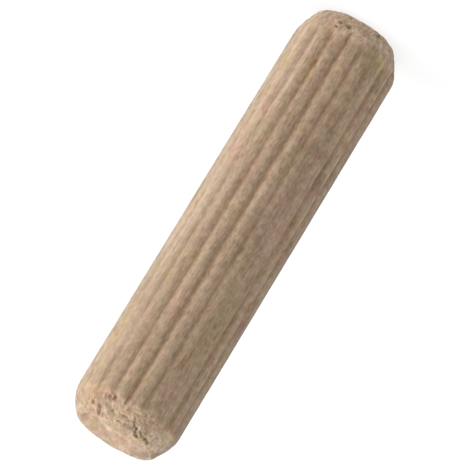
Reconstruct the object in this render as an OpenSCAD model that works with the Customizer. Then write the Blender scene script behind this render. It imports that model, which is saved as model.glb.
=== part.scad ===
// Fluted wooden dowel pin for glued joints.
// One solid peg of hardwood: straight pressed flutes along its whole length, with a rounded
// ridge between each pair, and a rounded nose at each end that starts the pin in its hole.
// It stands on its lower end face, with +Z along the pin and the origin at that face's centre.
// All sizes are in millimetres.

/* [Pin] */
// Diameter over the ridges (a nominal 8 mm pin is pressed slightly full)
pin_dia = 8.1; // [5.8:0.1:12.2]
// Length from end face to end face
pin_len = 35; // [20:1:60]

/* [Flutes] */
// How many flutes there are round the pin
flute_count = 20; // [12:1:26]
// How deep a flute is, measured in from the ridges
flute_depth = 0.22; // [0.1:0.01:0.35]
// How wide each ridge's crest is, where it keeps the full diameter
crest_w = 0.66; // [0.5:0.01:0.7]

/* [Ends] */
// Length of the rounded nose, along the pin
nose_len = 2.2; // [1.2:0.1:3.2]
// How far in from the ridges the nose has come at the end face
nose_depth = 1.05; // [0.8:0.05:1.5]
// Angle between the nose and the ridges where the nose begins
nose_start_angle = 10; // [3:1:12]

/* [Hidden] */

wood = [0.74, 0.64, 0.53];

pin_r = pin_dia / 2;
// Cutting solids reach this far past the surfaces that they cut
cut_over = 0.5;
// Faces round the pin and round each ridge when it is drawn as a mesh
pin_facets = 200;
ridge_facets = 64;

// Ridges. Each ridge's cross-section is part of a circle whose centre lies on the ridge's
// middle line. The circle passes through both edges of the crest and both flute bottoms, so
// neighbouring ridges meet in a sharp valley.
flute_pitch = 360 / flute_count;
flute_bottom_r = pin_r - flute_depth;
crest_half_angle = asin(crest_w / 2 / pin_r);
crest_edge = pin_r * [cos(crest_half_angle), sin(crest_half_angle)];
flute_bottom = flute_bottom_r * [cos(flute_pitch / 2), sin(flute_pitch / 2)];
ridge_centre_r = (pow(pin_r, 2) - pow(flute_bottom_r, 2)) / (2 * (crest_edge.x - flute_bottom.x));
ridge_r = norm(crest_edge - [ridge_centre_r, 0]);

// Nose. Its half-section is one arc from the end face to the ridges.
nose_chord = norm([nose_depth, nose_len]);
nose_chord_angle = atan2(nose_depth, nose_len);
nose_r = nose_chord / (2 * sin(nose_chord_angle - nose_start_angle));
nose_centre = [
    pin_r - nose_r * cos(nose_start_angle),
    nose_len + nose_r * sin(nose_start_angle)
];
end_face_r = pin_r - nose_depth;

// The pin's cross-section: rounded ridges round a core, cut back to the full diameter
module fluted_section() {
    intersection() {
        circle(r = pin_r, $fn = pin_facets);
        union() {
            circle(r = ridge_centre_r, $fn = pin_facets);
            for (i = [0 : flute_count - 1])
                rotate(i * flute_pitch)
                    translate([ridge_centre_r, 0])
                        circle(r = ridge_r, $fn = ridge_facets);
        }
    }
}

// What the rounding takes off the lower end: a ring that lies outside the nose's arc, from
// below the end face up to the height where the arc has passed the full diameter
module nose_waste() {
    inner_r = end_face_r - cut_over / 2;
    rotate_extrude($fn = pin_facets)
        difference() {
            translate([inner_r, -cut_over])
                square([pin_r + cut_over - inner_r, nose_centre.y + cut_over]);
            translate(nose_centre)
                circle(r = nose_r, $fn = pin_facets);
        }
}

module dowel_pin() {
    color(wood)
        difference() {
            linear_extrude(height = pin_len)
                fluted_section();
            nose_waste();
            translate([0, 0, pin_len])
                mirror([0, 0, 1])
                    nose_waste();
        }
}

dowel_pin();
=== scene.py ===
import math

import bpy
import numpy as np
from mathutils import Matrix, Vector


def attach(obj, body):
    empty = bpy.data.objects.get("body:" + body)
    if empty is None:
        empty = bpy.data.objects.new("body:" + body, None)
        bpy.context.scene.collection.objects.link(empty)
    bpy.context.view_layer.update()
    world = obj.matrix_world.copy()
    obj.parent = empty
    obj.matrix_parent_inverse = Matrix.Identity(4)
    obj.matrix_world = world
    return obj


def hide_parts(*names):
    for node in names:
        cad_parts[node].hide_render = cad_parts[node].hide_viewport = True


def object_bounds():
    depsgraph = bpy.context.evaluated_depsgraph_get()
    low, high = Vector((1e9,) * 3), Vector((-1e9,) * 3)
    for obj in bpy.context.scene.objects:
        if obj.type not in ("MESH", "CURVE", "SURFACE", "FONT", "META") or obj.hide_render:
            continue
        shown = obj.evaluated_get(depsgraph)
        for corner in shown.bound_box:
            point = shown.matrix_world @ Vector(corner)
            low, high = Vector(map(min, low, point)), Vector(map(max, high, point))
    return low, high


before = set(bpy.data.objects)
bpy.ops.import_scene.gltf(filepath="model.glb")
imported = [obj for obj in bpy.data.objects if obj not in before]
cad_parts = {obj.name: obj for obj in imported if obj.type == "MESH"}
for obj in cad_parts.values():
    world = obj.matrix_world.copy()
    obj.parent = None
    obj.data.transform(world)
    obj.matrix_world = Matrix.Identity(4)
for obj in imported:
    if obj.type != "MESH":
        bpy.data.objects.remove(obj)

cad_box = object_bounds()
MM = 0.001

# ---------------------------------------------------------------- sizes
# In metres, or in the units that a comment names
PIN_R = (cad_box[1].x - cad_box[0].x) / 2
PIN_LEN = cad_box[1].z - cad_box[0].z

# Flutes. Their count and phase repeat the part's source, and so does their depth, once the
# rounding of the valleys has taken some of it back
FLUTE_COUNT = 20
FLUTE_DEPTH = 0.26 * MM
FLUTE_PITCH = 2 * math.pi / FLUTE_COUNT
RIDGE_TOP = 0.08 * MM          # width of a ridge's flat top
VALLEY_ROUND = 0.13 * MM       # how softly a valley's bottom is rounded
VALLEY_FLOOR = 0.97            # share of the depth at which a valley's bottom is flat
CUT_ROUND = 0.03 * MM          # how softly the flutes are rounded where a nose cuts them off
FLUTE_WANDER = 0.018 * MM      # how far a valley strays sideways
FLUTE_UNEVEN = 0.10            # share by which a valley's depth changes on its way
RIDGE_BEADS = 0.008 * MM       # half the depth of the lumps that pressing leaves all over
BEAD_CELL = (0.40, 0.75)       # their width and length in mm
BEAD_LEAN = 0.5
# Over how many mm a valley strays and its depth changes, in broad and in finer parts, and how
# strong the finer parts are
STRAY_LENGTHS = (5.5, 1.3)
STRAY_FINER = 0.4
UNEVEN_LENGTHS = (4, 0.9)
UNEVEN_FINER = 0.5
VALLEY_STEP = 7                # how far apart two valleys' random values are, per radian
# Near the lower end the flutes are deeper and softer by these shares, which fade out between
# these heights in mm
LOWER_DEEPER = 0.24
LOWER_DEEPER_FADES = (4, 11)
LOWER_SOFTER = 0.4
LOWER_SOFTER_FADES = (2, 10)
# Past its run-out a flute keeps this share of its depth. The change takes twice this length
RUN_OUT_KEEPS = 0.25
RUN_OUT_HALF = 0.6 * MM
# The flutes in the photograph: degrees to the right of the side that the camera sees, depth
# against the rest, and run-out, which is counted from both ends in mm
SEEN_FLUTES = ((-78, 0.7, 1.7), (-60, 0.35, 1.7), (-42, 0.65, 1.9), (-24, 1.02, 1.9),
               (-6, 1.2, 1.2), (12, 0.97, 2.0), (30, 0.6, 2.2), (48, 1.0, 2.1), (66, 1.0, 1.8))
# The other flutes: by how much their depths differ, and their run-outs in mm
UNSEEN_DEPTHS_DIFFER = 0.14
UNSEEN_RUN_OUTS = (1.5, 2.2)

# Noses. The photograph shows a rounder nose on the pin's lit side than on the other one.
# Each size: its mean, and how much larger it is on the lit side, in mm
LOWER_NOSE = {"length": (2.10, 0.20), "depth": (0.96, -0.12), "bulge": (0.07, 0.04),
              "rim": (0.20, 0.14)}
UPPER_NOSE = {"length": (2.05, 0.00), "depth": (1.07, 0.07), "bulge": (0.15, 0.05),
              "rim": (0.16, 0.06)}
SHOULDER_ROUND = 0.12 * MM     # how softly a nose meets the ridges

# The mesh: columns round the pin, and rows along its side line from one face to the other
COLUMNS = 18 * FLUTE_COUNT
FACE_ROWS = 22
NOSE_ROWS = 58
SHANK_ROWS = 114
UNDER_FACE = 0.3               # the nose's curve goes on under its face by this share

RAY_ANGLE = math.radians(128)  # the way round the pin that the rays of its wood point

# Seeds of the random values. What has several parts takes the next seeds as well
STRAY_SEED = 3
UNEVEN_SEED = 5
BEAD_SEED = 7
PIT_SEED = 8
CRACK_SEED = 9
UNSEEN_FLUTES_SEED = 11
CRACK_UNEVEN_SEED = 12
PATCH_SEED = 14
LOWER_PITS_SEED = 21
UPPER_PITS_SEED = 22
LOWER_SEED = 31
UPPER_SEED = 41
LATTICE_SIZE = 48              # how many units a random field is wide before it repeats

# ---------------------------------------------------------------- camera
PHOTO_SIDE = 470                    # pixels
CAMERA_ELEVATION = math.radians(17)
CAMERA_AZIMUTH = math.radians(38.2)
CAMERA_DISTANCE = 77.0 * PIN_R
FOCAL_PIXELS = 4385.0               # focal length, in pixels of the photograph
SENSOR_WIDTH = 36                   # mm
CLIP_START = 0.01                   # metres
CLIP_END = 20                       # metres
CENTRE_OFFSET = (2.7, 2.3)          # the pin's middle, right of and above the photograph's centre
UP_IN_PHOTO = (-0.51971, -0.85434)  # where the pin's +Z points: right, up


def camera_directions():
    """The camera's right, up and back before it is rolled."""
    a, e = CAMERA_AZIMUTH, CAMERA_ELEVATION
    back = Vector((math.sin(a) * math.cos(e), -math.cos(a) * math.cos(e), math.sin(e)))
    right = Vector((math.cos(a), math.sin(a), 0))
    return right, back.cross(right), back


def make_camera():
    """The photograph's camera. It is rolled until the pin lies as it does in the photograph."""
    right, up, back = camera_directions()
    x, y = UP_IN_PHOTO
    rolled_right = y * right + x * up
    rolled_up = -x * right + y * up
    turned = Matrix((rolled_right, rolled_up, back)).transposed()
    data = bpy.data.cameras.new("camera")
    data.sensor_width = SENSOR_WIDTH
    data.lens = FOCAL_PIXELS / PHOTO_SIDE * data.sensor_width
    data.clip_start = CLIP_START
    data.clip_end = CLIP_END
    camera = bpy.data.objects.new("camera", data)
    bpy.context.scene.collection.objects.link(camera)
    middle = Vector((0, 0, PIN_LEN / 2))
    metres_per_pixel = CAMERA_DISTANCE / FOCAL_PIXELS
    dx, dy = CENTRE_OFFSET
    place = middle + back * CAMERA_DISTANCE
    place -= (rolled_right * dx + rolled_up * dy) * metres_per_pixel
    camera.matrix_world = Matrix.LocRotScale(place, turned.to_quaternion(), None)
    bpy.context.scene.camera = camera


# ---------------------------------------------------------------- light and floor
KEY_LEVEL = 1.47         # what a white surface facing the light would reflect
KEY_ELEVATION = math.radians(17)
KEY_TURN = math.radians(93)     # from the camera's direction towards its right, before the roll
KEY_SPREAD = math.radians(85)
TOP_LEVEL = 1.03
TOP_LEAN = math.radians(7)      # away from the key
TOP_SPREAD = math.radians(60)
SKY_LEVEL = 0.08
BACKDROP_LEVEL = 1.0     # how bright the camera sees the sky; what the sky lights is SKY_LEVEL
FLOOR_HALF = 1.5         # metres
FLOOR_WHITE = 0.13
FLOOR_GLOW = 0.85        # its own light, which makes it as white as the photograph's background


def add_sun(name, towards, level, spread):
    """A soft light far away: towards points from the pin to the light."""
    data = bpy.data.lights.new(name, "SUN")
    data.energy = math.pi * level
    data.angle = spread
    sun = bpy.data.objects.new(name, data)
    sun.rotation_euler = Vector(towards).to_track_quat("Z", "Y").to_euler()
    bpy.context.scene.collection.objects.link(sun)


def make_lights():
    """A key from the left of the photograph, a weaker light from above, and the sky."""
    scene = bpy.context.scene
    scene.view_settings.view_transform = "Standard"
    right, _, back = camera_directions()
    level_back = Vector((back.x, back.y, 0)).normalized()
    sideways = math.cos(KEY_TURN) * level_back + math.sin(KEY_TURN) * right
    key = math.cos(KEY_ELEVATION) * sideways + math.sin(KEY_ELEVATION) * Vector((0, 0, 1))
    add_sun("key", key, KEY_LEVEL, KEY_SPREAD)
    top = math.cos(TOP_LEAN) * Vector((0, 0, 1)) - math.sin(TOP_LEAN) * right
    add_sun("top", top, TOP_LEVEL, TOP_SPREAD)
    world = bpy.data.worlds.new("studio")
    world.use_nodes = True
    tree = world.node_tree
    background = tree.nodes["Background"]
    background.inputs["Color"].default_value = (1, 1, 1, 1)
    seen = tree.nodes.new("ShaderNodeLightPath").outputs["Is Camera Ray"]
    level = maths(tree, "MULTIPLY_ADD", seen, BACKDROP_LEVEL - SKY_LEVEL, SKY_LEVEL)
    tree.links.new(level, background.inputs["Strength"])
    scene.world = world


def make_floor():
    """The white floor that the pin stands on."""
    half = FLOOR_HALF
    corners = [(-half, -half, 0), (half, -half, 0), (half, half, 0), (-half, half, 0)]
    mesh = bpy.data.meshes.new("floor")
    mesh.from_pydata(corners, [], [(0, 1, 2, 3)])
    floor = bpy.data.objects.new("floor", mesh)
    bpy.context.scene.collection.objects.link(floor)
    material = bpy.data.materials.new("pale_floor")
    material.use_nodes = True
    shader = material.node_tree.nodes["Principled BSDF"]
    shader.inputs["Base Color"].default_value = (FLOOR_WHITE, FLOOR_WHITE, FLOOR_WHITE, 1)
    shader.inputs["Roughness"].default_value = 1.0
    shader.inputs["Specular IOR Level"].default_value = 0.0
    shader.inputs["Emission Color"].default_value = (1, 1, 1, 1)
    shader.inputs["Emission Strength"].default_value = FLOOR_GLOW
    mesh.materials.append(material)


# ---------------------------------------------------------------- the pin's form
def smooth_min(a, b, k):
    """The smaller of a and b, with the corner between them rounded over about k."""
    h = np.clip(0.5 + 0.5 * (b - a) / k, 0, 1)
    return b * (1 - h) + a * h - k * h * (1 - h)


def step_up(x, low, high):
    """0 below low, 1 above high, and a smooth rise between them."""
    t = np.clip((x - low) / (high - low), 0, 1)
    return t * t * (3 - 2 * t)


def random_field(x, y, z, seed):
    """Values from -1 to 1 that change smoothly over one unit, and are the same on every run."""
    size = LATTICE_SIZE
    lattice = np.random.default_rng(seed).uniform(-1, 1, (size, size, size))
    cells, shares = [], []
    for c in (x, y, z):
        whole = np.floor(c)
        part = c - whole
        cells.append(whole.astype(int))
        shares.append(part * part * (3 - 2 * part))
    total = 0
    for corner in np.ndindex(2, 2, 2):
        weight = 1
        for k in range(3):
            weight = weight * (shares[k] if corner[k] else 1 - shares[k])
        i, j, l = ((cells[k] + corner[k]) % size for k in range(3))
        total = total + weight * lattice[i, j, l]
    return total


def facing(degrees):
    """The angle round the pin of a place this far to the right of the side that the camera sees."""
    return CAMERA_AZIMUTH - math.pi / 2 - math.radians(degrees)


def right_of(angle, degrees=0):
    """How many degrees an angle round the pin lies to the right of the place at these degrees."""
    return (np.degrees(facing(degrees) - angle) + 180) % 360 - 180


def wood_field(r, angle, z, cell, seed, lean=0.0):
    """Random values in cells of this size in mm, across and along the pin. They may lean."""
    turned = angle - lean * z / PIN_R
    x, y = r * np.cos(turned) / MM, r * np.sin(turned) / MM
    return random_field(x / cell[0], y / cell[0], z / MM / cell[1], seed)


def ray_field(r, angle, cell, seed):
    """Random values on an end face, in cells of this size in mm, along the rays and across them."""
    along = r * np.cos(angle - RAY_ANGLE) / MM
    across = r * np.sin(angle - RAY_ANGLE) / MM
    return random_field(along / cell[0], across / cell[1], 0 * along, seed)


def along_valleys(nearest, z, lengths, finer, seed):
    """Random values that change along each valley, and differ from valley to valley."""
    row = nearest * VALLEY_STEP
    broad = random_field(row, z / MM / lengths[0], 0 * z, seed)
    return broad + finer * random_field(row, z / MM / lengths[1], 0 * z, seed + 1)


def flute_depth(angle, z):
    """How far the fluted surface lies below the ridges."""
    rng = np.random.default_rng(UNSEEN_FLUTES_SEED)
    share = 1 + UNSEEN_DEPTHS_DIFFER * rng.uniform(-1, 1, FLUTE_COUNT)
    run_out = rng.uniform(*UNSEEN_RUN_OUTS, FLUTE_COUNT) * MM
    for seen_at, value, from_end in SEEN_FLUTES:
        flute = int(facing(seen_at) // FLUTE_PITCH) % FLUTE_COUNT
        share[flute] = value
        run_out[flute] = from_end * MM
    valley = np.floor(angle / FLUTE_PITCH).astype(int) % FLUTE_COUNT
    nearest = (valley + 0.5) * FLUTE_PITCH
    stray = along_valleys(nearest, z, STRAY_LENGTHS, STRAY_FINER, STRAY_SEED)
    uneven = along_valleys(nearest, z, UNEVEN_LENGTHS, UNEVEN_FINER, UNEVEN_SEED)
    off = (angle % (2 * math.pi) - nearest) * PIN_R    # sideways from the valley, in metres
    half = FLUTE_PITCH / 2 * PIN_R
    low, high = (height * MM for height in LOWER_DEEPER_FADES)
    deeper = 1 + LOWER_DEEPER - LOWER_DEEPER * step_up(z, low, high)
    depth = FLUTE_DEPTH * share[valley] * deeper
    past_run_out = np.minimum(z, PIN_LEN - z) - run_out[valley]
    full = step_up(past_run_out, -RUN_OUT_HALF, RUN_OUT_HALF)
    depth = depth * (RUN_OUT_KEEPS + (1 - RUN_OUT_KEEPS) * full)
    # The valley strays, but the tops of its two ridges stay
    strayed = off - FLUTE_WANDER * stray * (1 - (off / half) ** 2)
    depth = depth * (1 + FLUTE_UNEVEN * uneven)
    from_top = half - np.abs(strayed)
    top = RIDGE_TOP / 2
    ridge = depth * (np.maximum(from_top, 0) ** 2 - top ** 2) / (half ** 2 - top ** 2)
    ridge = np.maximum(ridge, 0)
    beads = wood_field(PIN_R, angle, z, BEAD_CELL, BEAD_SEED, BEAD_LEAN)
    low, high = (height * MM for height in LOWER_SOFTER_FADES)
    rounding = VALLEY_ROUND * (1 + LOWER_SOFTER - LOWER_SOFTER * step_up(z, low, high))
    return smooth_min(ridge, depth * VALLEY_FLOOR, rounding) + RIDGE_BEADS * (1 + beads)


def nose_line(nose, v, angle):
    """Radius and height of a nose, for v from 0 at its end to 1 at the ridges."""
    lit_side = np.cos(angle - facing(-90))
    length, depth, bulge, rim = ((mean + more * lit_side) * MM for mean, more in nose.values())
    slant = np.hypot(length, depth)
    swell = 4 * bulge * v * (1 - v)
    r = PIN_R - depth * (1 - v) + swell * length / slant
    z = length * v - swell * depth / slant
    r = smooth_min(r, PIN_R, SHOULDER_ROUND)
    return r, -smooth_min(-z, 0 * z, rim)


def end_rows(nose, angle):
    """Rows of radius and height from an end face's middle to where its nose ends."""
    v = np.linspace(-UNDER_FACE, 1, NOSE_ROWS + 1)
    nose_r, nose_z = nose_line(nose, v[:, None], angle[None, :])
    share = (np.arange(1, FACE_ROWS + 1) / (FACE_ROWS + 1))[:, None]
    face_r = nose_r[:1] * share
    r = np.vstack([face_r, nose_r])
    z = np.vstack([0 * face_r, nose_z])
    place = np.concatenate([0 * share[:, 0] - UNDER_FACE, v])
    return r, z, place


PIT_RAGGED = 0.30          # how ragged a pit's outline is, as a share of its size
PIT_BENDS = 1.3            # how many bends that outline has over the same length
PIT_FIELD_AT = (7, 5)      # where the outline's random values are taken, and how far it is
PIT_FIELD_STEP = 3.5       # from one pit's to the next one's
PIT_WALL = (0.3, 1.3)      # where its wall starts and ends, in shares of its size
LIP_AT = 1.6               # where the painted highlight of its pale lip is, and how wide, the same way
LIP_WIDTH = 0.4
LIP_FADES = (-0.5, 1.0)    # the lip is on the pit's left, and on the side of the pin's end
CRACK_STRAYS = 0.6         # how far a crack strays, as a share of its half width
CRACK_CELL = (0.16, 0.16)  # mm from one bend to the next
CRACK_UNEVEN = 0.5         # share by which its depth changes
CRACK_UNEVEN_CELL = (0.22, 0.22)
CRACK_FLOOR = 0.1          # half the width of its bottom, as a share of its half width
NOSE_R_SHARE = 0.8         # a nose's radius, as a share of the pin's, where the cracks are


def pit(r, z, angle, number, at, half_width, half_length, depth):
    """How far a ragged pit lowers each point, and where its pale lip, a painted highlight, is. at:
    angle, height.
    """
    across = ((angle - at[0] + math.pi) % (2 * math.pi) - math.pi) * r / half_width
    along = (z - at[1]) / half_length
    x, y = across * PIT_BENDS + PIT_FIELD_AT[0], along * PIT_BENDS + PIT_FIELD_AT[1]
    ragged = random_field(x, y, 0 * along + PIT_FIELD_STEP * number, PIT_SEED)
    far = np.sqrt(across ** 2 + along ** 2) + PIT_RAGGED * ragged
    lip = np.exp(-((far - LIP_AT) / LIP_WIDTH) ** 2) * step_up(across - along, *LIP_FADES)
    return depth * (1 - step_up(far, *PIT_WALL)), lip


def crack(r, z, angle, stops, half_width, depth):
    """How far a ragged crack through the stops lowers each point."""
    lowest = 0
    strays = CRACK_STRAYS * half_width
    stray_x = strays * wood_field(r, angle, z, CRACK_CELL, CRACK_SEED)
    stray_z = strays * wood_field(r, angle, z, CRACK_CELL, CRACK_SEED + 1)
    for (a0, z0), (a1, z1) in zip(stops, stops[1:]):
        px = ((angle - a0 + math.pi) % (2 * math.pi) - math.pi) * r + stray_x
        pz = z - z0 + stray_z
        dx, dz = (a1 - a0) * PIN_R * NOSE_R_SHARE, z1 - z0
        share = np.clip((px * dx + pz * dz) / (dx * dx + dz * dz), 0, 1)
        far = np.hypot(px - share * dx, pz - share * dz)
        lowest = np.maximum(lowest, 1 - step_up(far, CRACK_FLOOR * half_width, half_width))
    uneven = wood_field(r, angle, z, CRACK_UNEVEN_CELL, CRACK_UNEVEN_SEED)
    return depth * lowest * (1 + CRACK_UNEVEN * uneven)


# Pits in the noses: degrees right of the camera's side, then how far from the end, half width,
# half length and depth in mm
UPPER_PITS = (
    (-33.0, 0.36, 0.20, 0.24, 0.15),
    (-33.8, 0.64, 0.19, 0.22, 0.14),
    (-45.0, 0.79, 0.15, 0.15, 0.13),
    (-42.0, 0.70, 0.10, 0.10, 0.05),
    (-45.0, 0.34, 0.26, 0.09, 0.04),
    (-56.0, 0.34, 0.18, 0.08, 0.03),
    (-54.0, 0.72, 0.10, 0.07, 0.04),
    (-27.0, 0.36, 0.07, 0.16, 0.06),
    (-26.0, 0.14, 0.13, 0.10, 0.06),
    (-25.0, 1.47, 0.14, 0.23, 0.14),
    (-19.3, 1.56, 0.18, 0.23, 0.18),
    (-24.0, 1.80, 0.18, 0.12, 0.05),
    (-15.5, 0.90, 0.07, 0.22, 0.06),
    (-12.5, 1.02, 0.07, 0.18, 0.06),
    (-4.0, 0.36, 0.22, 0.08, 0.06),
    (0.0, 0.81, 0.34, 0.07, 0.06),
    (-3.0, 1.04, 0.18, 0.07, 0.05),
    (4.5, 0.38, 0.09, 0.15, 0.07),
    (67.0, 0.28, 0.22, 0.08, 0.07),
)
LOWER_PITS = (
    (-12.6, 1.13, 0.28, 0.20, 0.19),
    (-24.8, 1.07, 0.18, 0.14, 0.11),
    (-25.4, 1.54, 0.15, 0.12, 0.20),
    (-30.0, 0.75, 0.10, 0.20, 0.05),
    (50.0, 1.45, 0.20, 0.20, 0.05),
    (66.0, 1.72, 0.20, 0.18, 0.10),
    (-17.0, 1.40, 0.14, 0.10, 0.05),
    (-18.0, 0.30, 0.18, 0.14, 0.07),
    (-11.0, 1.62, 0.12, 0.24, 0.06),
    (22.0, 1.50, 0.07, 0.20, 0.05),
)
# Small pits, by chance, on the side that the photograph doesn't show: how many, and the ranges of
# the same values
LOWER_MORE_PITS = 9
UPPER_MORE_PITS = 12
MORE_PITS_AT = (100, 260)
MORE_PITS_FROM_END = (0.3, 1.5)
MORE_PITS_SIZE = ((0.06, 0.13), (0.08, 0.22), (0.05, 0.12))
# Cracks in the upper nose: half width and depth in mm, then stops of degrees and mm from the end
UPPER_CRACKS = (
    (0.16, 0.11, ((26, 0.16), (22, 0.31), (17, 0.58))),
    (0.17, 0.11, ((19, 0.50), (12, 0.83))),
    (0.07, 0.05, ((12, 0.83), (9.5, 1.06), (7, 1.37))),
    (0.14, 0.11, ((44, 0.27), (39, 0.36))),
    (0.15, 0.12, ((39, 0.36), (35, 0.42), (30, 0.43), (25, 0.57))),
    (0.09, 0.05, ((9, 0.28), (13, 0.43), (16, 0.53))),
)
# Splinters that stand up from the upper nose: half width and height in mm, then stops as above
UPPER_SPLINTERS = (
    (0.09, 0.05, ((-32, 1.50), (-28.8, 1.16))),
    (0.08, 0.05, ((-26, 1.55), (-23.5, 1.22))),
    (0.08, 0.04, ((-20, 1.27), (-16.8, 0.90))),
    (0.08, 0.04, ((-16, 1.22), (-12.8, 0.86))),
    (0.09, 0.03, ((-8, 0.99), (-3, 0.92))),
    (0.08, 0.03, ((-5, 1.14), (0, 1.22))),
    (0.08, 0.03, ((2, 1.00), (5, 1.20))),
    (0.09, 0.03, ((6, 0.60), (10, 0.72))),
    (0.08, 0.03, ((24, 0.88), (31, 0.72))),
    (0.08, 0.03, ((17, 1.14), (22, 1.30))),
    (0.09, 0.04, ((18, 1.44), (21, 1.36))),
    (0.09, 0.04, ((25, 1.52), (28, 1.44))),
)


# Torn end grain. Its gaps lean on the side that is lit and lie across the pin on the other one:
# the sizes of both in mm, of the fine grain between them, and where the one turns to the other,
# in degrees right of the camera's side and as the sine of the angle from there
LEANING_CELL = (0.20, 0.40)
GAP_LEAN = 0.5
LEVEL_CELL = (0.30, 0.19)
FINE_CELL = (0.13, 0.16)
LEAN_CHANGES_AT = -9
LEAN_CHANGES = (-0.25, 0.25)
FINE_IN_GAPS = 0.4
FINE_IN_HOLLOWS = 0.6
GAP_LEVEL = 0.3                 # gaps are where the random values are near this level
GAP_WIDTH = 0.22
# The relief in mm: hollows, gaps and how far all of it lies below the nose
HOLLOW_RELIEF = 0.036
GAP_RELIEF = 0.014
TORN_SINKS = 0.024
# The same for the faces: broad swells, and waves along the rays with their finer part
SWELL_RELIEF = 0.024
WAVE_RELIEF = 0.036
BROAD_CELL = (1.1, 1.3)
WAVE_CELL = (2.0, 0.6)
FINE_WAVE_CELL = (0.9, 0.3)
FINE_WAVE_SHARE = 0.5
# How rough a nose is: everywhere, more at one place and within these degrees of it, by chance,
# and at least
ROUGH_MEAN = 0.60
ROUGH_MORE = 0.45
ROUGH_WITHIN = 38
ROUGH_CHANCE = 0.40
ROUGH_LEAST = 0.15
# Shade painted into the colour: above 0 is darker, below 0 is paler
# painted shade in the torn wood's gaps and hollows, and painted light on the hollows' tops
GAP_SHADE = 0.09
HOLLOW_SHADE = 0.18
TORN_SHADE = -0.22
LIP_HIGHLIGHT = -0.5                # painted highlight: a pale lip beside a pit 0.1 mm deep
BROKEN_SHADE = -0.35            # where a nose cuts off the ridges
DARK_DEPTH = 0.15 * MM          # painted shade: a pit or crack this deep is as dark as they get
PALE_HEIGHT = 0.10 * MM         # a splinter this high is as pale as they get
# Places on a nose's side line: 0 at its face's rim and 1 at the ridges
FACE_FADES = (-0.15, 0.15)      # from the face's relief to none
NOSE_BEGINS = (-0.12, 0.08)     # from none of the nose's roughness to all of it
ROUGH_ENDS = 0.88               # where the roughness ends, and how much that place varies
ROUGH_ENDS_VARIES = 0.14
ROUGH_ENDS_CELL = (0.5, 2.0)
ROUGH_ENDS_SOFT = 0.10
BROKEN_PAST_END = 0.04          # how far past it the broken wood is, and how wide
BROKEN_WIDTH = 0.07
MARKS_BEGIN = -0.05             # pits and cracks stay on the nose


def torn_wood(r, z, angle, seed):
    """Gaps between the broken ends of fibres, from 0 to 1, and hollows, from -1 to 1."""
    to_right = np.sin(np.radians(right_of(angle, LEAN_CHANGES_AT)))
    share = 1 - step_up(to_right, *LEAN_CHANGES)
    leaning = wood_field(r, angle, z, LEANING_CELL, seed, GAP_LEAN)
    level = wood_field(r, angle, z, LEVEL_CELL, seed + 1)
    strokes = share * leaning + (1 - share) * level
    fine = wood_field(r, angle, z, FINE_CELL, seed + 2)
    gaps = np.exp(-((strokes + FINE_IN_GAPS * fine - GAP_LEVEL) / GAP_WIDTH) ** 2)
    return gaps, strokes + FINE_IN_HOLLOWS * fine


def torn_depth(r, z, angle, place, seed, marks, rough_at):
    """How far torn grain, pits and cracks lower a nose and its face, the shade painted into their
    colour, and the pits.
    """
    gaps, hollows = torn_wood(r, z, angle, seed)
    broad = wood_field(r, angle, z, BROAD_CELL, seed + 3)
    edge = ROUGH_ENDS + ROUGH_ENDS_VARIES * wood_field(r, angle, z, ROUGH_ENDS_CELL, seed + 4)
    past_edge = step_up(place, edge - ROUGH_ENDS_SOFT, edge + ROUGH_ENDS_SOFT)
    on_nose = step_up(place, *NOSE_BEGINS) * (1 - past_edge)
    at_roughest = np.exp(-(right_of(angle, rough_at) / ROUGH_WITHIN) ** 2)
    rougher = ROUGH_MEAN + ROUGH_MORE * at_roughest + ROUGH_CHANCE * broad
    rougher = np.maximum(rougher, ROUGH_LEAST) * on_nose
    rough = (HOLLOW_RELIEF * hollows + GAP_RELIEF * gaps + TORN_SINKS) * MM * rougher
    waves = ray_field(r, angle, WAVE_CELL, seed + 5)
    waves = waves + FINE_WAVE_SHARE * ray_field(r, angle, FINE_WAVE_CELL, seed + 6)
    highest = 1 + FINE_WAVE_SHARE
    face = (SWELL_RELIEF * (broad + 1) + WAVE_RELIEF * (waves + highest)) * MM
    rough = rough + face * (1 - step_up(place, *FACE_FADES))
    # painted shade in gaps and hollows, painted light on the hollows' tops, and paler torn wood all
    # over
    shade = (GAP_SHADE * gaps + HOLLOW_SHADE * hollows + TORN_SHADE) * rougher
    pits, cracks, splinters = marks
    deep, raised = 0 * r, 0 * r
    for number, (degrees, from_end, half_width, half_length, depth) in enumerate(pits):
        at = (facing(degrees), from_end * MM)
        dent, lip = pit(r, z, angle, number, at, half_width * MM, half_length * MM, depth * MM)
        deep = np.maximum(deep, dent * (place > MARKS_BEGIN))
        # painted highlight on the lip beside the pit
        shade = shade + LIP_HIGHLIGHT * lip * depth / 0.1
    for half_width, depth, stops in cracks:
        line = [(facing(degrees), from_end * MM) for degrees, from_end in stops]
        cut = crack(r, z, angle, line, half_width * MM, depth * MM)
        deep = np.maximum(deep, cut * (place > MARKS_BEGIN))
    for half_width, height, stops in splinters:
        line = [(facing(degrees), from_end * MM) for degrees, from_end in stops]
        raised = np.maximum(raised, crack(r, z, angle, line, half_width * MM, height * MM))
    # Pale broken wood where a nose cuts off the ridges
    broken = np.exp(-((place - edge - BROKEN_PAST_END) / BROKEN_WIDTH) ** 2)
    shade = shade + BROKEN_SHADE * broken
    # painted shade in pits and cracks, and paler splinters
    shade = shade + deep / DARK_DEPTH - raised / PALE_HEIGHT
    return rough + deep - raised, shade, deep


def more_pits(seed, count):
    """Small pits on the side of a nose that the photograph doesn't show."""
    rng = np.random.default_rng(seed)
    pits = []
    for _ in range(count):
        degrees = rng.uniform(*MORE_PITS_AT)
        size = [rng.uniform(*sizes) for sizes in MORE_PITS_SIZE]
        pits.append((degrees, rng.uniform(*MORE_PITS_FROM_END), *size))
    return tuple(pits)


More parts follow.
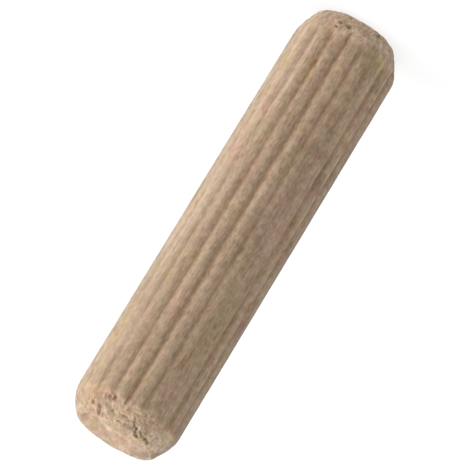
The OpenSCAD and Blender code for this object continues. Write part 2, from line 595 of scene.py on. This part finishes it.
# The dent in the upper face
DENT_DEPTH = 0.10 * MM
DENT_IN = 1.43 * MM            # from the ridges in to the dent's middle
DENT_WIDTH = 0.23 * MM
DENT_AT = -62                  # degrees right of the camera's side
DENT_SPAN = 30
DENT_ENDS = 0.1                # on the nose's side line


def face_dent(r, angle, place):
    """How far the upper face lies below the lip that stands at its lit edge."""
    hollow = np.exp(-((PIN_R - r - DENT_IN) / DENT_WIDTH) ** 2) * (place < DENT_ENDS)
    return DENT_DEPTH * hollow * np.exp(-(right_of(angle, DENT_AT) / DENT_SPAN) ** 2)


def one_end(nose, angle, seed, marks, rough_at):
    """Points of one end, as rows of radius, height from its own face, and what the wood needs."""
    r, z, place = end_rows(nose, angle)
    a = np.repeat(angle[None, :], len(r), axis=0)
    p = np.repeat(place[:, None], len(angle), axis=1)
    lowered, shade, pitted = torn_depth(r, z, a, p, seed, marks, rough_at)
    if nose is UPPER_NOSE:
        lowered = lowered + face_dent(r, a, p)
    # Inwards, across the line
    dr = np.gradient(r, axis=0)
    dz = np.gradient(z, axis=0)
    size = np.hypot(dr, dz)
    r = r - lowered * dz / size
    z = z + lowered * dr / size
    return r, z, p, shade, pitted


PATCH_RAGGED = 0.18        # how ragged a patch's outline is, as a share of its size
PATCH_CELL = (0.6, 0.9)    # its bends in mm, and those of its finer part
PATCH_FINE_CELL = (0.25, 0.35)
PATCH_EDGE = (0.4, 1.3)    # where its tint starts to fade and where it is gone, the same way
OUT_OF_REACH = 9           # moves a patch away from the places that it doesn't lie on


def lay_patch(tints, across, along, ragged, tint):
    """Multiplies the tints by this one where across and along are both small."""
    far = np.hypot(across, along) + PATCH_RAGGED * ragged
    share = 1 - step_up(far, *PATCH_EDGE)
    tints *= 1 + share.reshape(-1, 1) * (np.array(tint) - 1)


def patch_tints(r, angle, z, on_face):
    """The tint of each point, from the coloured patches of the wood in the photograph; some of them
    are painted light and shade.
    """
    tints = np.ones((angle.size, 3))
    ragged = wood_field(PIN_R, angle, z, PATCH_CELL, PATCH_SEED)
    ragged += wood_field(PIN_R, angle, z, PATCH_FINE_CELL, PATCH_SEED + 1)
    for degrees, height, half_width, half_length, tint in PATCHES:
        across = np.abs(right_of(angle, degrees)) / half_width + OUT_OF_REACH * on_face
        along = (z / MM - height) / half_length
        lay_patch(tints, across, along, ragged, tint)
    to_right = r * np.cos(angle - facing(90)) / MM
    away = -r * np.cos(angle - facing(0)) / MM
    elsewhere = OUT_OF_REACH * (1 - on_face * (z > PIN_LEN / 2))
    for right, back, half_width, half_length, tint in FACE_PATCHES:
        across = np.abs(to_right - right) / half_width + elsewhere
        along = (away - back) / half_length
        lay_patch(tints, across, along, ragged, tint)
    return tints


# The grain is fainter by this share at this place on the lit side, and within these degrees of it
FAINTER_GRAIN = 0.34
FAINTEST_AT = -54
FAINT_WITHIN = 26


def grain_strength(angle):
    """How plainly the grain shows: it is fainter on the lit side."""
    return 1 - FAINTER_GRAIN * np.exp(-(right_of(angle, FAINTEST_AT) / FAINT_WITHIN) ** 2)


# Where each nose is roughest, in degrees right of the camera's side
LOWER_ROUGHEST = -18
UPPER_ROUGHEST = 12
# Places on a nose's side line, as above: where the torn wood of the ends turns into the pressed
# wood of the side, and where the face ends
END_GRAIN_FADES = (0.35, 0.95)
FLAT_FACE_ENDS = (-0.16, 0.04)
GROOVE_BEGINS = 0.05 * MM      # half the height over which a flute starts to show at a nose


def pin_surface(angle):
    """Radius, height and angle of each row and column of points, and what the wood needs."""
    low_marks = (LOWER_PITS + more_pits(LOWER_PITS_SEED, LOWER_MORE_PITS), (), ())
    top_pits = UPPER_PITS + more_pits(UPPER_PITS_SEED, UPPER_MORE_PITS)
    top_marks = (top_pits, UPPER_CRACKS, UPPER_SPLINTERS)
    low = one_end(LOWER_NOSE, angle, LOWER_SEED, low_marks, LOWER_ROUGHEST)
    top = one_end(UPPER_NOSE, angle, UPPER_SEED, top_marks, UPPER_ROUGHEST)
    low_r, low_z, low_place, low_shade, low_pitted = low
    top_r, top_z, top_place, top_shade, top_pitted = top
    share = (np.arange(1, SHANK_ROWS) / SHANK_ROWS)[:, None]
    shank_z = low_z[-1:] * (1 - share) + (PIN_LEN - top_z[-1:]) * share
    shank_r = PIN_R + 0 * shank_z
    r = np.vstack([low_r, shank_r, top_r[::-1]])
    z = np.vstack([low_z, shank_z, PIN_LEN - top_z[::-1]])
    place = np.vstack([low_place, 1 + 0 * shank_z, top_place[::-1]])
    shade = np.vstack([low_shade, 0 * shank_z, top_shade[::-1]])
    pitted = np.vstack([low_pitted, 0 * shank_z, top_pitted[::-1]])
    a = np.repeat(angle[None, :], len(r), axis=0)
    depth = flute_depth(a, z)
    fluted_r = PIN_R - depth - pitted
    # What the wood needs to know: each attribute's values, and its value at both faces' middles
    groove = depth / FLUTE_DEPTH * step_up(r - fluted_r, -GROOVE_BEGINS, GROOVE_BEGINS)
    end_grain = 1 - step_up(place, *END_GRAIN_FADES)
    flat_face = 1 - step_up(place, *FLAT_FACE_ENDS)
    # torn carries the painted shade and light of the noses, and their paler torn wood
    fields = {"groove": (groove, 0), "end_grain": (end_grain, 1), "flat_face": (flat_face, 1),
              "torn": (shade, 0), "grain": (grain_strength(a), 1)}
    return smooth_min(r, fluted_r, CUT_ROUND), z, a, fields


def pin_mesh(r, z, a):
    """A closed mesh of these rows and columns of points, with one more point in each face."""
    points = np.stack([r * np.cos(a), r * np.sin(a), z], axis=2).reshape(-1, 3)
    first = np.arange(COLUMNS)
    second = (first + 1) % COLUMNS
    row_start = np.arange(len(r) - 1)[:, None] * COLUMNS
    near, beside = row_start + first, row_start + second
    quads = np.stack([near, beside, beside + COLUMNS, near + COLUMNS], axis=2).reshape(-1, 4)
    lower_middle, upper_middle = len(points), len(points) + 1
    points = np.vstack([points, [0, 0, z[0].mean()], [0, 0, z[-1].mean()]])
    top_ring = (len(r) - 1) * COLUMNS
    faces = quads.tolist()
    faces += [(lower_middle, int(d), int(c)) for c, d in zip(first, second)]
    faces += [(upper_middle, int(top_ring + c), int(top_ring + d)) for c, d in zip(first, second)]
    mesh = bpy.data.meshes.new("fluted_pin")
    mesh.from_pydata(points.tolist(), [], faces)
    mesh.polygons.foreach_set("use_smooth", [True] * len(mesh.polygons))
    return mesh


def make_pin():
    """The pin, which stands in for the CAD part."""
    r, z, a, fields = pin_surface(np.arange(COLUMNS) * (2 * math.pi / COLUMNS))
    mesh = pin_mesh(r, z, a)
    for name, (field, at_middle) in fields.items():
        layer = mesh.attributes.new(name, "FLOAT", "POINT")
        values = np.concatenate([field.reshape(-1), [at_middle] * 2])
        layer.data.foreach_set("value", values.astype(np.float32))
    layer = mesh.attributes.new("patches", "FLOAT_VECTOR", "POINT")
    tints = patch_tints(r, a, z, fields["flat_face"][0])
    at_middles = [[1, 1, 1]] * 2
    tints = np.vstack([tints, at_middles]).astype(np.float32)
    layer.data.foreach_set("vector", tints.reshape(-1))
    mesh.update()
    pin = bpy.data.objects.new("fluted_pin", mesh)
    bpy.context.scene.collection.objects.link(pin)
    mesh.materials.append(wood_material())
    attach(pin, "root")
    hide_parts("dowel_pin")


# ---------------------------------------------------------------- wood
# Tints of the patches, as shares of red, green and blue light
GOLDEN = (0.94, 0.87, 0.82)
PALE = (1.19, 1.23, 1.30)
DUSKY = (0.80, 0.76, 0.80)
MAROON = (0.88, 0.80, 0.84)
BROWN = (0.86, 0.76, 0.66)
PINK = (1.03, 0.94, 0.95)
ROSY = (0.98, 0.94, 0.97)
PEACH = (1.03, 0.98, 0.90)
OLIVE = (0.94, 0.955, 0.88)
PAINTED_SHADE = (0.84, 0.86, 0.90)
DIM = (0.94, 0.93, 0.93)
LIGHTER = (1.07, 1.07, 1.06)
FRESH = (1.15, 1.15, 1.17)
WHITER = (1.10, 1.13, 1.14)
WHITISH = (1.24, 1.22, 1.28)
PAINTED_EDGE_LIGHT = (0.99, 1.07, 1.12)
SLATE = (0.82, 0.85, 0.90)
MAUVE = (0.90, 0.88, 0.91)
APRICOT = (1.06, 0.96, 0.87)
GREYISH = (0.94, 0.99, 1.04)
STRAW = (0.96, 0.98, 0.89)
BUFF = (0.93, 0.90, 0.94)
ROSE = (1.00, 0.90, 0.89)
PAINTED_LIP_SHADOW = (0.84, 0.78, 0.75)
# Patches of another shade: degrees right of the camera's side, height in mm, half width in
# degrees, half length in mm and tint. The first seven are strips along the whole pin: painted light
# and shade, paler on its lit side and darker on its shaded side
PATCHES = (
    # painted shade: a darker strip along the shaded edge
    (78, 17.5, 12, 60.0, PAINTED_SHADE),
    # painted shade: darker strips on the shaded half
    (21, 17.5, 6, 60.0, DIM),
    (47, 17.5, 5, 60.0, DIM),
    # painted light: paler strips on the lit half
    (-27, 17.5, 5, 60.0, LIGHTER),
    (-6, 17.5, 14, 60.0, LIGHTER),
    # painted light: a paler strip on the lit side
    (-61, 17.5, 8, 60.0, WHITER),
    # painted light: a paler, bluer strip at the lit edge
    (-78, 17.5, 11, 60.0, PAINTED_EDGE_LIGHT),
    (5, 33.7, 24, 0.9, FRESH),
    (9, 34.1, 9, 0.6, LIGHTER),
    (58, 34.75, 16, 0.35, WHITISH),
    # painted shadow of the upper face's lip, along its rim
    (-37, 34.88, 14, 0.32, PAINTED_LIP_SHADOW),
    (34, 34.85, 14, 0.30, LIGHTER),
    (8, 0.5, 12, 0.4, FRESH),
    (48, 0.9, 26, 0.6, WHITER),
    (-5, 1.6, 22, 0.7, LIGHTER),
    (-33, 33.9, 10, 0.5, DIM),
    (-60, 34.1, 26, 0.9, GOLDEN),
    (-34, 33.4, 20, 0.5, PINK),
    (-70, 35.0, 30, 0.15, PINK),
    (62, 34.0, 24, 0.9, PALE),
    (80, 35.0, 42, 0.08, DUSKY),
    (45, 33.4, 8, 0.5, OLIVE),
    (57, 33.0, 8, 0.4, MAROON),
    (35, 26.0, 17, 3.5, OLIVE),
    (28, 16.0, 15, 5.0, ROSY),
    (22, 28.9, 4, 0.6, BROWN),
    (70, 23.8, 6, 0.9, MAROON),
    (58, 22.5, 6, 0.7, BROWN),
    (49, 15.4, 4, 0.7, BROWN),
    (54, 12.3, 6, 1.1, SLATE),
    (12, 10.4, 4, 0.6, BROWN),
    (30, 10.4, 7, 0.5, MAROON),
    (57, 8.6, 6, 0.6, BROWN),
    (-25, 4.8, 4, 0.6, BROWN),
    (27, 3.5, 5, 0.6, BROWN),
    (20, 7.7, 3, 0.7, BROWN),
    (26, 2.3, 14, 0.9, OLIVE),
    (-62, 29.0, 10, 1.2, PEACH),
    (-66, 22.8, 8, 0.9, OLIVE),
    (-70, 18.0, 9, 1.4, PEACH),
    (-52, 13.5, 8, 1.4, PINK),
    (-57, 4.8, 9, 1.4, PEACH),
    (-51, 2.6, 7, 0.6, OLIVE),
)
# Patches on the upper face: how far to the right of its middle and behind it, half width and
# half length in mm, and tint
FACE_PATCHES = (
    (2.9, 0.0, 0.60, 1.8, SLATE),
    (-2.9, 0.0, 0.50, 1.8, MAUVE),
    # painted shade: the face's right side darker, where it turns from the light
    (1.9, -0.2, 0.85, 2.0, MAUVE),
    (1.3, 0.4, 0.30, 0.7, ROSE),
    (0.6, -0.4, 0.50, 1.4, APRICOT),
    (-0.3, -0.6, 0.30, 0.9, GREYISH),
    (-0.7, 0.0, 0.25, 0.9, PINK),
    (-1.0, 1.6, 0.40, 0.8, GREYISH),
    (-2.1, 0.0, 0.90, 2.2, BUFF),
    (-1.6, 0.0, 0.60, 1.8, STRAW),
    (-2.2, -1.2, 0.40, 1.0, ROSE),
    (-2.5, 0.3, 0.35, 0.9, PINK),
    (1.3, -1.8, 0.40, 0.8, STRAW),
    (0.3, 1.6, 0.30, 0.8, ROSE),
    # painted shade along the face's back rim, where it curves away from the light
    (0.0, 2.85, 1.30, 0.35, SLATE),
    (1.7, 2.35, 0.70, 0.35, SLATE),
    (-1.7, 2.35, 0.70, 0.35, SLATE),
    (2.1, 1.4, 0.80, 1.10, MAUVE),
)
# Linear colours of bare beech, pressed on the pin's side and torn across at its ends, and the
# tints of what shows in it and of the painted shade and light on it
SIDE_PALE = (0.510, 0.374, 0.262)
SIDE_DARK = (0.270, 0.178, 0.110)
END_PALE = (0.528, 0.406, 0.300)
END_DARK = (0.250, 0.170, 0.110)
PINK_TINT = (1.055, 0.948, 0.980)
STRAW_TINT = (0.970, 1.020, 0.850)
PINK_VEIN_TINT = (1.015, 0.955, 0.955)
STRAW_VEIN_TINT = (0.985, 1.0, 0.92)
# painted shade, darker towards each valley's bottom
VALLEY_SHADE_TINT = (0.84, 0.78, 0.71)
RECESS_SHADE_TINT = (0.66, 0.54, 0.43)     # painted shade in gaps, hollows, pits and cracks
PALE_AND_HIGHLIGHT_TINT = (1.26, 1.26, 1.22)    # paler torn wood, broken ends and splinters; painted light on the hollows' tops and painted highlight on the lips
FLECK_TINT = (0.84, 0.78, 0.72)
FLECK_SHARE = 0.8                  # how far the flecks take their tint
RING_PITCH = 1.5                   # mm from one growth ring to the next
RING_BEND = 2.2                    # how far a ring strays from a flat band, in radians
# Sizes in mm of what the noise makes: along the rays, across them and along the pin
RING_BEND_CELL = (2.5, 2.5, 14)
LUMP_CELL = (0.54, 0.54, 0.50)
FACE_LUMP_CELL = (1.6, 0.55, 0.5)
STREAK_CELL = (0.50, 0.50, 4.6)
FACE_STREAK_CELL = (2.6, 0.80, 4.6)
FIBRE_CELL = (0.13, 0.13, 0.38)
RAY_CELL = (0.9, 0.13, 0.75)
BLOTCH_CELL = (1.6, 1.6, 1.7)
WARMTH_CELL = (1.4, 1.4, 1.8)
VEIN_CELL = (2.6, 0.85, 1.0)
PORE_CELL = (0.15, 0.15, 1.6)
# Between which noise values each of them goes from nothing to full
FLECKS_SHOW = (0.34, 0.62)
PORES_SHOW = (0.28, 0.55)
BLOTCHES_SHOW = (0.0, 0.8)
PINK_VEINS_SHOW = (0.0, 0.7)
STRAW_VEINS_SHOW = (0.0, -0.7)
VALLEY_SHADE_SHOWS = (0.3, 1.05)         # painted shade in the valleys, in shares of the flutes' depth
NOISE_ROUGHNESS = 0.55
NOISE_SPREAD = 2.6                 # what makes the noise run from about -1 to 1
NOISE_STEP = (3.7, 1.9, 5.3)       # how far apart the places of two seeds are
# The tone runs from dark at 0 to pale at 1: its mean, and how much each part moves it
TONE_MEAN = 0.55
LUMP_TONE = 0.36
FIBRE_TONE = 0.43
STREAK_TONE = 0.42
RING_TONE = 0.06
# The bump's heights, in metres
LUMP_BUMP = 0.012 * MM
FIBRE_BUMP = 0.010 * MM
FLECK_BUMP = -0.004 * MM
PORE_BUMP = -0.012 * MM
# Roughness: of the side, what the fibres change, and what torn end grain adds
ROUGHNESS = 0.66
FIBRE_ROUGHNESS = 0.05
END_ROUGHNESS = 0.12
WOOD_SPECULAR = 0.3


def add(tree, kind, sockets, **settings):
    """Adds a node, and gives each of its sockets a value or a link."""
    node = tree.nodes.new(kind)
    for name, value in settings.items():
        setattr(node, name, value)
    for key, value in sockets.items():
        if isinstance(value, bpy.types.NodeSocket):
            tree.links.new(value, node.inputs[key])
        else:
            node.inputs[key].default_value = value
    return node.outputs[0]


def maths(tree, operation, *values):
    """A sum, product or function of these values."""
    return add(tree, "ShaderNodeMath", dict(enumerate(values)), operation=operation)


def vector_maths(tree, operation, *values):
    """The same for vectors and colours."""
    return add(tree, "ShaderNodeVectorMath", dict(enumerate(values)), operation=operation)


def ramp(tree, value, low, high):
    """A smooth step from 0 to 1 as the value goes from low to high."""
    sockets = {"Value": value, "From Min": low, "From Max": high}
    return add(tree, "ShaderNodeMapRange", sockets, interpolation_type="SMOOTHSTEP")


def mix(tree, share, a, b):
    """A colour between a and b. The share is a link; a and b are links or colours."""
    node = tree.nodes.new("ShaderNodeMix")
    node.data_type = "RGBA"
    for key, value in (("Factor_Float", share), ("A_Color", a), ("B_Color", b)):
        socket = next(i for i in node.inputs if i.identifier == key)
        if isinstance(value, bpy.types.NodeSocket):
            tree.links.new(value, socket)
        else:
            socket.default_value = (*value, 1)
    return next(o for o in node.outputs if o.identifier == "Result_Color")


def between(tree, share, a, b):
    """A value between a and b."""
    difference = maths(tree, "SUBTRACT", b, a)
    return maths(tree, "MULTIPLY_ADD", share, difference, a)


def tinted(tree, colour, share, tint):
    """The colour, multiplied by the tint as far as share says."""
    return vector_maths(tree, "MULTIPLY", colour, mix(tree, share, (1, 1, 1), tint))


def noise(tree, place, cell, seed, detail=1.0):
    """Noise whose lumps are about this large in mm. It runs from about -1 to 1."""
    per_metre = tuple(1 / (c * MM) for c in cell)
    shift = tuple(seed * step for step in NOISE_STEP)
    spot = vector_maths(tree, "MULTIPLY_ADD", place, per_metre, shift)
    sockets = {"Vector": spot, "Scale": 1.0, "Detail": detail, "Roughness": NOISE_ROUGHNESS}
    value = add(tree, "ShaderNodeTexNoise", sockets)
    return maths(tree, "MULTIPLY_ADD", value, NOISE_SPREAD, -NOISE_SPREAD / 2)


def attribute(tree, name, output="Fac"):
    """What the mesh says at each point."""
    node = tree.nodes.new("ShaderNodeAttribute")
    node.attribute_name = name
    return node.outputs[output]


def wood_material():
    """Bare beech, with the marks that the mesh says, and the painted light and shade that it
    carries.
    """
    material = bpy.data.materials.new("bare_beech")
    material.use_nodes = True
    tree = material.node_tree
    shader = tree.nodes["Principled BSDF"]
    coordinates = tree.nodes.new("ShaderNodeTexCoord").outputs["Object"]
    place = add(tree, "ShaderNodeVectorRotate", {"Vector": coordinates, "Angle": -RAY_ANGLE},
                rotation_type="Z_AXIS")
    groove, end_grain, torn = (attribute(tree, n) for n in ("groove", "end_grain", "torn"))
    flat_face, grain = attribute(tree, "flat_face"), attribute(tree, "grain")
    patches = attribute(tree, "patches", "Vector")

    # Growth rings: flat bands across the rays, a little bent
    bent = noise(tree, place, RING_BEND_CELL, 1)
    across = add(tree, "ShaderNodeSeparateXYZ", {"Vector": place})
    bending = maths(tree, "MULTIPLY", bent, RING_BEND)
    phase = maths(tree, "MULTIPLY_ADD", across, 2 * math.pi / (RING_PITCH * MM), bending)
    rings = maths(tree, "SINE", phase)

    # Grain: lumps of fibre, longer streaks, fine fibres, and rays, which lie across the rings
    lumps = noise(tree, place, LUMP_CELL, 2)
    lumps = between(tree, flat_face, lumps, noise(tree, place, FACE_LUMP_CELL, 10))
    streaks = noise(tree, place, STREAK_CELL, 3, 2.0)
    streaks = between(tree, flat_face, streaks, noise(tree, place, FACE_STREAK_CELL, 11))
    fibres = noise(tree, place, FIBRE_CELL, 4)
    rays = noise(tree, place, RAY_CELL, 5, 0.0)
    flecks = ramp(tree, rays, *FLECKS_SHOW)
    blotches = noise(tree, place, BLOTCH_CELL, 6)
    warmth = noise(tree, place, WARMTH_CELL, 7)
    veins = noise(tree, place, VEIN_CELL, 9)
    pores = noise(tree, place, PORE_CELL, 8, 0.0)
    open_pores = ramp(tree, pores, *PORES_SHOW)

    tone = maths(tree, "MULTIPLY", lumps, LUMP_TONE)
    tone = maths(tree, "MULTIPLY_ADD", fibres, FIBRE_TONE, tone)
    tone = maths(tree, "MULTIPLY", tone, grain)
    tone = maths(tree, "MULTIPLY_ADD", streaks, STREAK_TONE, tone)
    tone = maths(tree, "MULTIPLY_ADD", rings, RING_TONE, tone)
    tone = maths(tree, "ADD", tone, TONE_MEAN)
    side = mix(tree, tone, SIDE_DARK, SIDE_PALE)
    end = mix(tree, tone, END_DARK, END_PALE)
    colour = mix(tree, end_grain, side, end)
    colour = tinted(tree, colour, ramp(tree, blotches, *BLOTCHES_SHOW), PINK_TINT)
    colour = tinted(tree, colour, ramp(tree, warmth, *BLOTCHES_SHOW), STRAW_TINT)
    pink_veins = maths(tree, "MULTIPLY", ramp(tree, veins, *PINK_VEINS_SHOW), end_grain)
    straw_veins = maths(tree, "MULTIPLY", ramp(tree, veins, *STRAW_VEINS_SHOW), end_grain)
    colour = tinted(tree, colour, pink_veins, PINK_VEIN_TINT)
    colour = tinted(tree, colour, straw_veins, STRAW_VEIN_TINT)
    colour = tinted(tree, colour, maths(tree, "MULTIPLY", flecks, FLECK_SHARE), FLECK_TINT)
    end_pores = maths(tree, "MULTIPLY", open_pores, end_grain)
    colour = tinted(tree, colour, end_pores, FLECK_TINT)
    # painted shade in the flutes' valleys
    colour = tinted(tree, colour, ramp(tree, groove, *VALLEY_SHADE_SHOWS), VALLEY_SHADE_TINT)
    # painted shade in gaps, hollows, pits and cracks
    colour = tinted(tree, colour, torn, RECESS_SHADE_TINT)
    # paler torn wood, with painted light and painted highlight
    colour = tinted(tree, colour, maths(tree, "MULTIPLY", torn, -1), PALE_AND_HIGHLIGHT_TINT)
    # the patches' tints, some of them painted light and shade
    colour = vector_maths(tree, "MULTIPLY", colour, patches)
    tree.links.new(colour, shader.inputs["Base Color"])

    relief = maths(tree, "MULTIPLY", lumps, LUMP_BUMP)
    relief = maths(tree, "MULTIPLY_ADD", fibres, FIBRE_BUMP, relief)
    relief = maths(tree, "MULTIPLY_ADD", flecks, FLECK_BUMP, relief)
    relief = maths(tree, "MULTIPLY_ADD", end_pores, PORE_BUMP, relief)
    bump = add(tree, "ShaderNodeBump", {"Height": relief, "Distance": 1.0, "Strength": 1.0})
    tree.links.new(bump, shader.inputs["Normal"])
    roughness = maths(tree, "MULTIPLY_ADD", fibres, FIBRE_ROUGHNESS, ROUGHNESS)
    roughness = maths(tree, "MULTIPLY_ADD", end_grain, END_ROUGHNESS, roughness)
    tree.links.new(roughness, shader.inputs["Roughness"])
    shader.inputs["Specular IOR Level"].default_value = WOOD_SPECULAR
    return material


make_camera()
make_lights()
make_floor()
make_pin()
